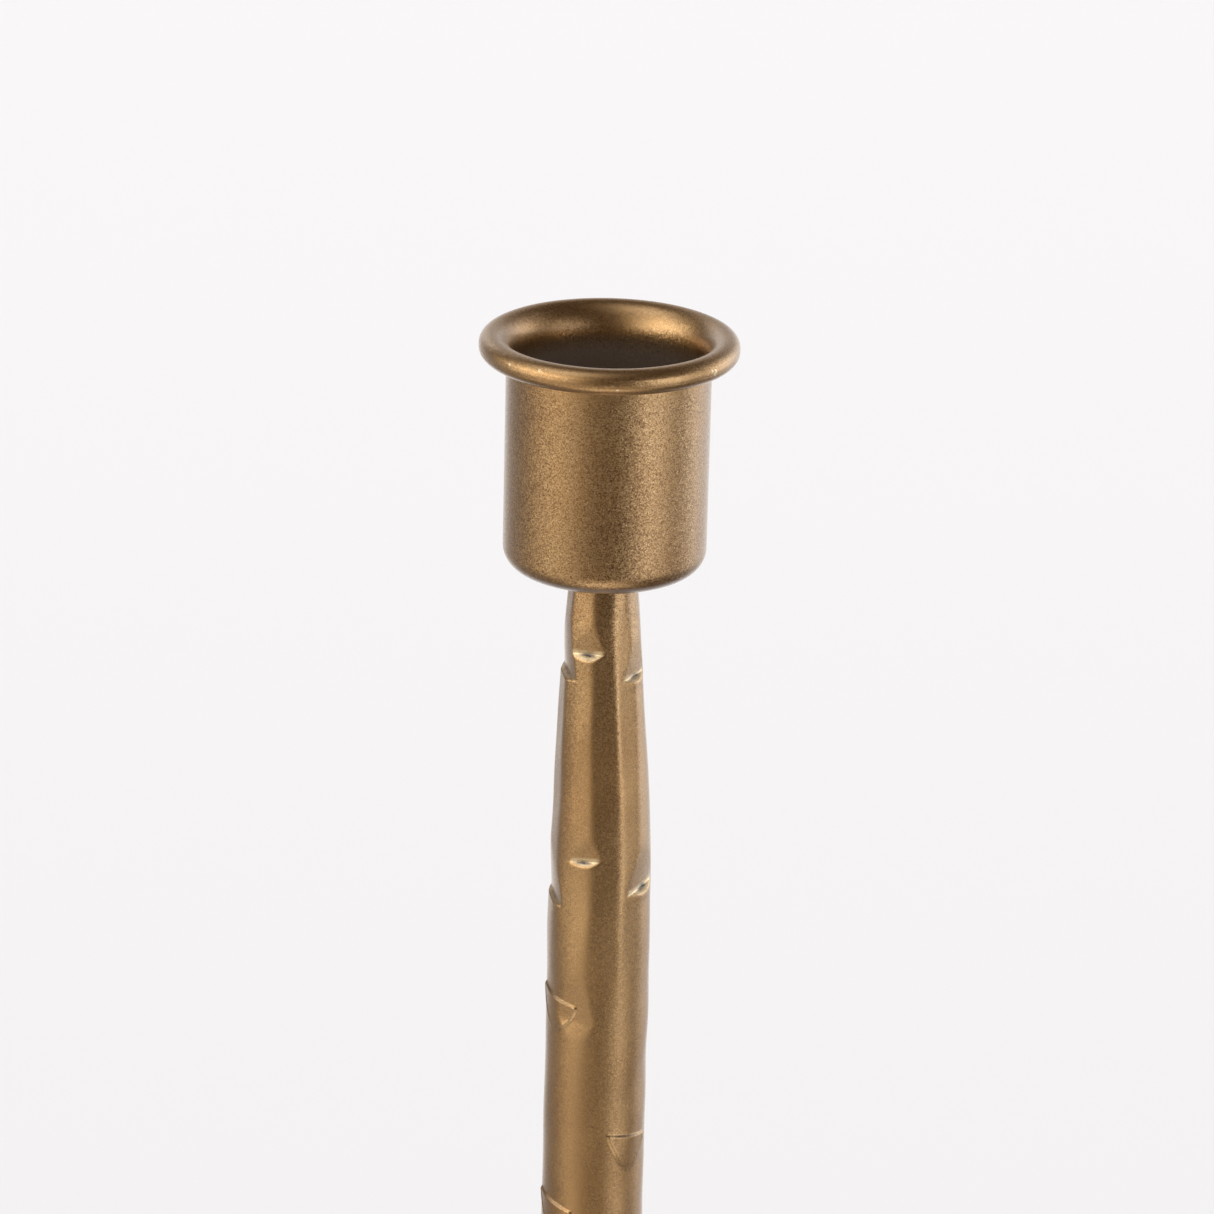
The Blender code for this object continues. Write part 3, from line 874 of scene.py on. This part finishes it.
BRASS_DARK = (0.270, 0.153, 0.054)
BRASS_LIGHT = (0.295, 0.178, 0.069)
BRASS_CLOUDS = (0.91, 1.03)
PLAIN_LIFT = 0.14  # the lacquer is paler where its flakes don't show
SATIN = (0.27, 0.36)
FLAKE_SCALES = (9500, 7800)
FLAKE_TILT = 0.1
FLAKE_CONTRAST = 0.37
GLINT_SHARE = (0.92, 1)
GLINT = 0.45
COARSE_GRAIN = 0.02
GRAIN_TINT = (0, 0.054, 0.078)  # the flakes are paler than the lacquer
DARKEST_FLAKE = (0.06, 0.03, 0.01)
WORN_COLOUR = (0.55, 0.435, 0.26)
# Colour of painted shade in creases and recesses, and of the fine scratches in the lacquer
SHADE_AND_SCRATCH_COLOUR = (0.035, 0.027, 0.022)
SCRATCH_STRENGTH = 0.35
SCRATCH_WIDTH = 0.006
TARNISH_COLOUR = (0.225, 0.165, 0.125)  # inside the cup, where the lacquer is thin
BRASS_METALLIC = 0.95
TARNISH_METALLIC = 0.5
COAT = 0.8
COAT_ROUGHNESS = 0.25
STEEL_DARK = (0.56, 0.55, 0.52)
STEEL_LIGHT = (0.7, 0.69, 0.65)
FELT_DARK = (0.018, 0.016, 0.015)
FELT_LIGHT = (0.05, 0.046, 0.042)


def flake_layer(tree, place, scale):
    """Metal flakes in the lacquer: a random colour for each, which drives its tilt and its brightness."""
    flakes = node(tree, "ShaderNodeTexVoronoi")
    flakes.inputs["Scale"].default_value = scale
    tree.links.new(place, flakes.inputs["Vector"])
    return flakes.outputs["Color"]


def flake_normal(tree, place, flakes):
    """The surface normal with fine orange peel, each flake tilted its own way."""
    normal = bumped(tree, noise(tree, place, scale=1100, detail=2), strength=0.05, distance=0.0001)
    for colour in flakes:
        centred = vector_node(tree, "SUBTRACT", colour, (0.5, 0.5, 0.5))
        normal = vector_node(tree, "ADD", normal, scaled_vector(tree, centred, FLAKE_TILT))
    return vector_node(tree, "NORMALIZE", normal)


def flake_grain(tree, place, flakes, sparkle):
    """Brightness of the flakes above and below the lacquer's own: fine grain, and a glint on some of them."""
    coarse = noise(tree, place, scale=2600, detail=2)
    grain = remap(tree, coarse, (0.3, 0.7), (-COARSE_GRAIN, COARSE_GRAIN))
    for colour in flakes:
        channels = node(tree, "ShaderNodeSeparateColor")
        tree.links.new(colour, channels.inputs["Color"])
        bright = remap(tree, channels.outputs["Red"], (0, 1), (-FLAKE_CONTRAST, FLAKE_CONTRAST))
        glint = remap(tree, channels.outputs["Green"], GLINT_SHARE, (0, GLINT))
        grain = math_node(tree, "ADD", math_node(tree, "ADD", grain, bright), glint)
    return math_node(tree, "MULTIPLY", grain, sparkle)


def lacquer_colour(tree, place, flakes):
    """The lacquer's own colour with its clouds, and its flakes."""
    blotch = remap(tree, noise(tree, place, scale=70, detail=3), (0.35, 0.65), (0, 1))
    cloud = remap(tree, noise(tree, place, scale=130, detail=4), (0.3, 0.7), BRASS_CLOUDS)
    sparkle = attribute(tree, "sparkle")
    grain = flake_grain(tree, place, flakes, sparkle)
    cloud = math_node(tree, "ADD", cloud, remap(tree, sparkle, (0, 1), (PLAIN_LIFT, 0)))
    brightness = math_node(tree, "ADD", cloud, grain)
    colour = scaled_vector(tree, mix_colour(tree, blotch, BRASS_DARK, BRASS_LIGHT), brightness)
    colour = vector_node(tree, "ADD", colour, scaled_vector(tree, GRAIN_TINT, grain))
    return vector_node(tree, "MAXIMUM", colour, DARKEST_FLAKE)


def scratch_lines(tree, place):
    """Faint wandering hairlines in the lacquer, in some patches only."""
    wander = noise(tree, place, scale=260, detail=3)
    off = math_node(tree, "ABSOLUTE", math_node(tree, "SUBTRACT", wander, 0.5))
    hairline = remap(tree, off, (0, SCRATCH_WIDTH), (1, 0))
    patch = remap(tree, noise(tree, place, scale=45, detail=1), (0.56, 0.66), (0, 1))
    return math_node(tree, "MULTIPLY", math_node(tree, "MULTIPLY", hairline, patch), SCRATCH_STRENGTH)


def bare_metal(tree, place):
    """How much of the lacquer is rubbed off on edges or chipped off the rim, 0 to 1."""
    patchy = remap(tree, noise(tree, place, scale=1400, detail=3), (0.35, 0.6), (0.6, 1))
    spots = remap(tree, noise(tree, place, scale=700, detail=3), (0.68, 0.72), (0, 1))
    rubbed = math_node(tree, "MULTIPLY", attribute(tree, "wear"), patchy)
    chipped = math_node(tree, "MULTIPLY", attribute(tree, "chips"), spots)
    return math_node(tree, "MAXIMUM", rubbed, chipped)


def brass_material():
    """Satin antique brass lacquer with fine flakes, rubbed and chipped, and darkened by painted shade, where
    the pieces' attributes say.
    """
    material, tree, shader, place = new_material("antique_brass")
    flakes = [flake_layer(tree, place, scale) for scale in FLAKE_SCALES]
    tarnish = attribute(tree, "tarnish")
    colour = mix_colour(tree, bare_metal(tree, place), lacquer_colour(tree, place, flakes), WORN_COLOUR)
    # Painted shade in the stem's creases and along the scales' tops
    colour = mix_colour(tree, attribute(tree, "painted_shade"), colour, SHADE_AND_SCRATCH_COLOUR)
    colour = mix_colour(tree, tarnish, colour, TARNISH_COLOUR)
    colour = mix_colour(tree, scratch_lines(tree, place), colour, SHADE_AND_SCRATCH_COLOUR)
    roughness = remap(tree, noise(tree, place, scale=2600, detail=2), (0.3, 0.7), SATIN)
    metallic = remap(tree, tarnish, (0, 1), (BRASS_METALLIC, TARNISH_METALLIC))
    tree.links.new(colour, shader.inputs["Base Color"])
    tree.links.new(roughness, shader.inputs["Roughness"])
    tree.links.new(metallic, shader.inputs["Metallic"])
    tree.links.new(flake_normal(tree, place, flakes), shader.inputs["Normal"])
    shader.inputs["Coat Weight"].default_value = COAT
    shader.inputs["Coat Roughness"].default_value = COAT_ROUGHNESS
    return material


def steel_material():
    """Zinc plate with its faint spangle and fine scratches, and painted shade where the piece's attribute
    marks it.
    """
    material, tree, shader, place = new_material("zinc_plated_steel")
    spangle = noise(tree, place, scale=900, detail=4)
    colour = mix_colour(tree, remap(tree, spangle, (0.35, 0.65), (0, 1)), STEEL_DARK, STEEL_LIGHT)
    # Painted shade in the screw's recess
    colour = mix_colour(tree, attribute(tree, "painted_shade"), colour, SHADE_AND_SCRATCH_COLOUR)
    scratches = noise(tree, place, scale=5000, detail=3)
    tree.links.new(colour, shader.inputs["Base Color"])
    tree.links.new(remap(tree, spangle, (0.3, 0.7), (0.25, 0.42)), shader.inputs["Roughness"])
    tree.links.new(bumped(tree, scratches, strength=0.2, distance=0.00005), shader.inputs["Normal"])
    shader.inputs["Metallic"].default_value = 1
    return material


def felt_material():
    """Dark pressed felt with a soft nap."""
    material, tree, shader, place = new_material("dark_felt")
    fibres = noise(tree, place, scale=2500, detail=6, roughness=0.7)
    colour = mix_colour(tree, remap(tree, fibres, (0.3, 0.7), (0, 1)), FELT_DARK, FELT_LIGHT)
    tree.links.new(colour, shader.inputs["Base Color"])
    tree.links.new(bumped(tree, fibres, strength=0.6, distance=0.0003), shader.inputs["Normal"])
    shader.inputs["Roughness"].default_value = 0.95
    shader.inputs["Sheen Weight"].default_value = 0.3
    shader.inputs["Sheen Roughness"].default_value = 0.5
    return material


def dress(obj, material, slot_name, *nodes):
    """Gives a new piece its material and body, and hides the CAD nodes that it stands for; its slot name is
    not used.
    """
    obj.data.materials.clear()
    obj.data.materials.append(material)
    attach(obj, "root")
    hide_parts(*nodes)


# Stage

# Soft lights that the metal mirrors. Azimuth 0 is the camera's side, positive to its right.
Glow = namedtuple("Glow", "azimuth elevation tightness strength colour")
WARM = (1.06, 0.98, 0.86)
NEUTRAL = (1, 1, 1)
GLOWS = (
    Glow(-80, 14, 14, 3.05, WARM),  # window on the left, far end
    Glow(-50, 15, 14, 2.7, WARM),  # the same window, near end
    Glow(-55, -28, 9, 0.9, WARM),  # the table under it
    Glow(-64, 60, 14, 2.1, NEUTRAL),  # the ceiling above it
    Glow(-118, -20, 12, 0.3, NEUTRAL),  # foot of the wall on the left
    Glow(54, -4, 13, 2.9, NEUTRAL),  # window on the right
    Glow(116, 2, 11, 2.9, NEUTRAL),  # wall on the right
    Glow(158, -4, 16, 0.65, NEUTRAL),  # wall behind, right part
    Glow(-160, -4, 14, 0.62, NEUTRAL),  # wall behind, left part
    Glow(-152, 24, 26, 0.9, NEUTRAL),  # higher up on the left part
    Glow(175, 26, 14, 0.4, WARM),  # higher up in the middle
    Glow(180, -38, 8, 1.1, NEUTRAL),  # table behind
    Glow(0, -57, 14, 2.0, WARM),  # table in front
)
ROOM_COLOUR = (0.094, 0.063, 0.052)
DOME_COLOUR = (0.888, 0.880, 0.884)
WALL_COLOUR = (0.74, 0.734, 0.737)

# The camera's angles are in degrees and its distances in metres.
VIEW_ELEVATION = 17.45  # of the line from the rim to the camera
AIM_ELEVATION = 20.19  # how far down it looks
AIM_SIDEWAYS = 0.00073
CAMERA_DISTANCE = 0.650
ROLL = 1.45
LENS = 162

FLOOR_REACH = 30
FLOOR_COLOUR = (0.82, 0.81, 0.815)
FLOOR_ROUGHNESS = 0.9
FLOOR_SPECULAR = 0.1
LIGHT_SIZE = 3
LIGHT_POWER = 24
LIGHT_PLACE = (0, 1.6, 2.4)


def make_camera():
    camera = bpy.data.objects.new("camera", bpy.data.cameras.new("camera"))
    bpy.context.scene.collection.objects.link(camera)
    camera.data.lens = LENS
    rim = Vector((0, 0, (HEIGHT - BEAD_RADIUS) * MM))
    rise = math.radians(VIEW_ELEVATION)
    camera.location = rim + CAMERA_DISTANCE * Vector((0, -math.cos(rise), math.sin(rise)))
    aim = math.radians(AIM_ELEVATION)
    looking = Vector((AIM_SIDEWAYS, math.cos(aim), -math.sin(aim)))
    turn = looking.to_track_quat("-Z", "Y").to_matrix().to_4x4()
    camera.rotation_euler = (turn @ Matrix.Rotation(math.radians(ROLL), 4, "Z")).to_euler()
    bpy.context.scene.camera = camera


def floor_light():
    """A wide light overhead, a little behind, that lights the floor and isn't mirrored in the metal."""
    light = bpy.data.lights.new("floor_light", "AREA")
    light.size = LIGHT_SIZE
    light.energy = LIGHT_POWER
    obj = bpy.data.objects.new("floor_light", light)
    obj.location = LIGHT_PLACE
    obj.visible_camera = False
    obj.visible_glossy = False
    bpy.context.scene.collection.objects.link(obj)


def make_floor():
    mesh = bpy.data.meshes.new("floor")
    corners = [(x * FLOOR_REACH, y * FLOOR_REACH, 0) for x, y in ((-1, -1), (1, -1), (1, 1), (-1, 1))]
    mesh.from_pydata(corners, [], [(0, 1, 2, 3)])
    floor = bpy.data.objects.new("floor", mesh)
    bpy.context.scene.collection.objects.link(floor)
    material = bpy.data.materials.new("pale_floor")
    material.use_nodes = True
    shader = material.node_tree.nodes["Principled BSDF"]
    shader.inputs["Base Color"].default_value = (*FLOOR_COLOUR, 1)
    shader.inputs["Roughness"].default_value = FLOOR_ROUGHNESS
    shader.inputs["Specular IOR Level"].default_value = FLOOR_SPECULAR
    mesh.materials.append(material)
    floor.visible_glossy = False


def glow_node(tree, way, glow):
    """Light from one side: strongest along its own direction, and fading smoothly round that."""
    turn = math.radians(glow.azimuth)
    rise = math.radians(glow.elevation)
    source = (math.sin(turn) * math.cos(rise), -math.cos(turn) * math.cos(rise), math.sin(rise))
    towards = node(tree, "ShaderNodeVectorMath", operation="DOT_PRODUCT")
    towards.inputs[1].default_value = source
    tree.links.new(way, towards.inputs[0])
    off = math_node(tree, "SUBTRACT", towards.outputs["Value"], 1)
    fall = math_node(tree, "EXPONENT", math_node(tree, "MULTIPLY", off, glow.tightness))
    return scaled_vector(tree, [glow.strength * channel for channel in glow.colour], fall)


def make_world():
    """The metal mirrors a studio of soft glows. The floor is lit evenly, and the camera sees a pale wall."""
    world = bpy.data.worlds.new("studio")
    bpy.context.scene.world = world
    world.cycles.sampling_method = "NONE"
    world.use_nodes = True
    tree = world.node_tree
    way = node(tree, "ShaderNodeTexCoord").outputs["Generated"]
    mirrored = ROOM_COLOUR
    for glow in GLOWS:
        mirrored = vector_node(tree, "ADD", glow_node(tree, way, glow), mirrored)
    ray = node(tree, "ShaderNodeLightPath")
    colour = mix_colour(tree, ray.outputs["Is Glossy Ray"], DOME_COLOUR, mirrored)
    colour = mix_colour(tree, ray.outputs["Is Camera Ray"], colour, WALL_COLOUR)
    tree.links.new(colour, tree.nodes["Background"].inputs["Color"])


# Each screw and washer: how it is made, its name, the CAD node that it stands for and its own size
STEEL_PIECES = (
    (make_screw, "cross_head_screw", "cup_screw", CUP_SCREW),
    (make_screw, "socket_screw", "base_screw", BASE_SCREW),
    (make_flat_washer, "cup_plain_washer", "cup_flat_washer", CUP_WASHER_HOLE),
    (make_flat_washer, "base_plain_washer", "base_flat_washer", BASE_WASHER_HOLE),
    (make_spring_washer, "cup_lock_washer", "cup_spring_washer", CUP_WASHER_HOLE),
    (make_spring_washer, "base_lock_washer", "base_spring_washer", BASE_WASHER_HOLE),
)


def main():
    brass = brass_material()
    steel = steel_material()
    felt = felt_material()
    dress(make_stem(), brass, "antique_brass_finish", "stem")
    dress(make_cup(), brass, "antique_brass_finish", "candle_cup")
    dress(make_base(), brass, "antique_brass_finish", "base")
    for make, name, cad, size in STEEL_PIECES:
        dress(make(name, cad, size), steel, "zinc_plated_steel", cad)
    disc = make_felt()
    dress(disc, felt, "dark_felt", "felt_pad")
    make_floor()
    make_world()
    floor_light()
    bpy.context.scene.view_settings.view_transform = "Standard"
    make_camera()


main()
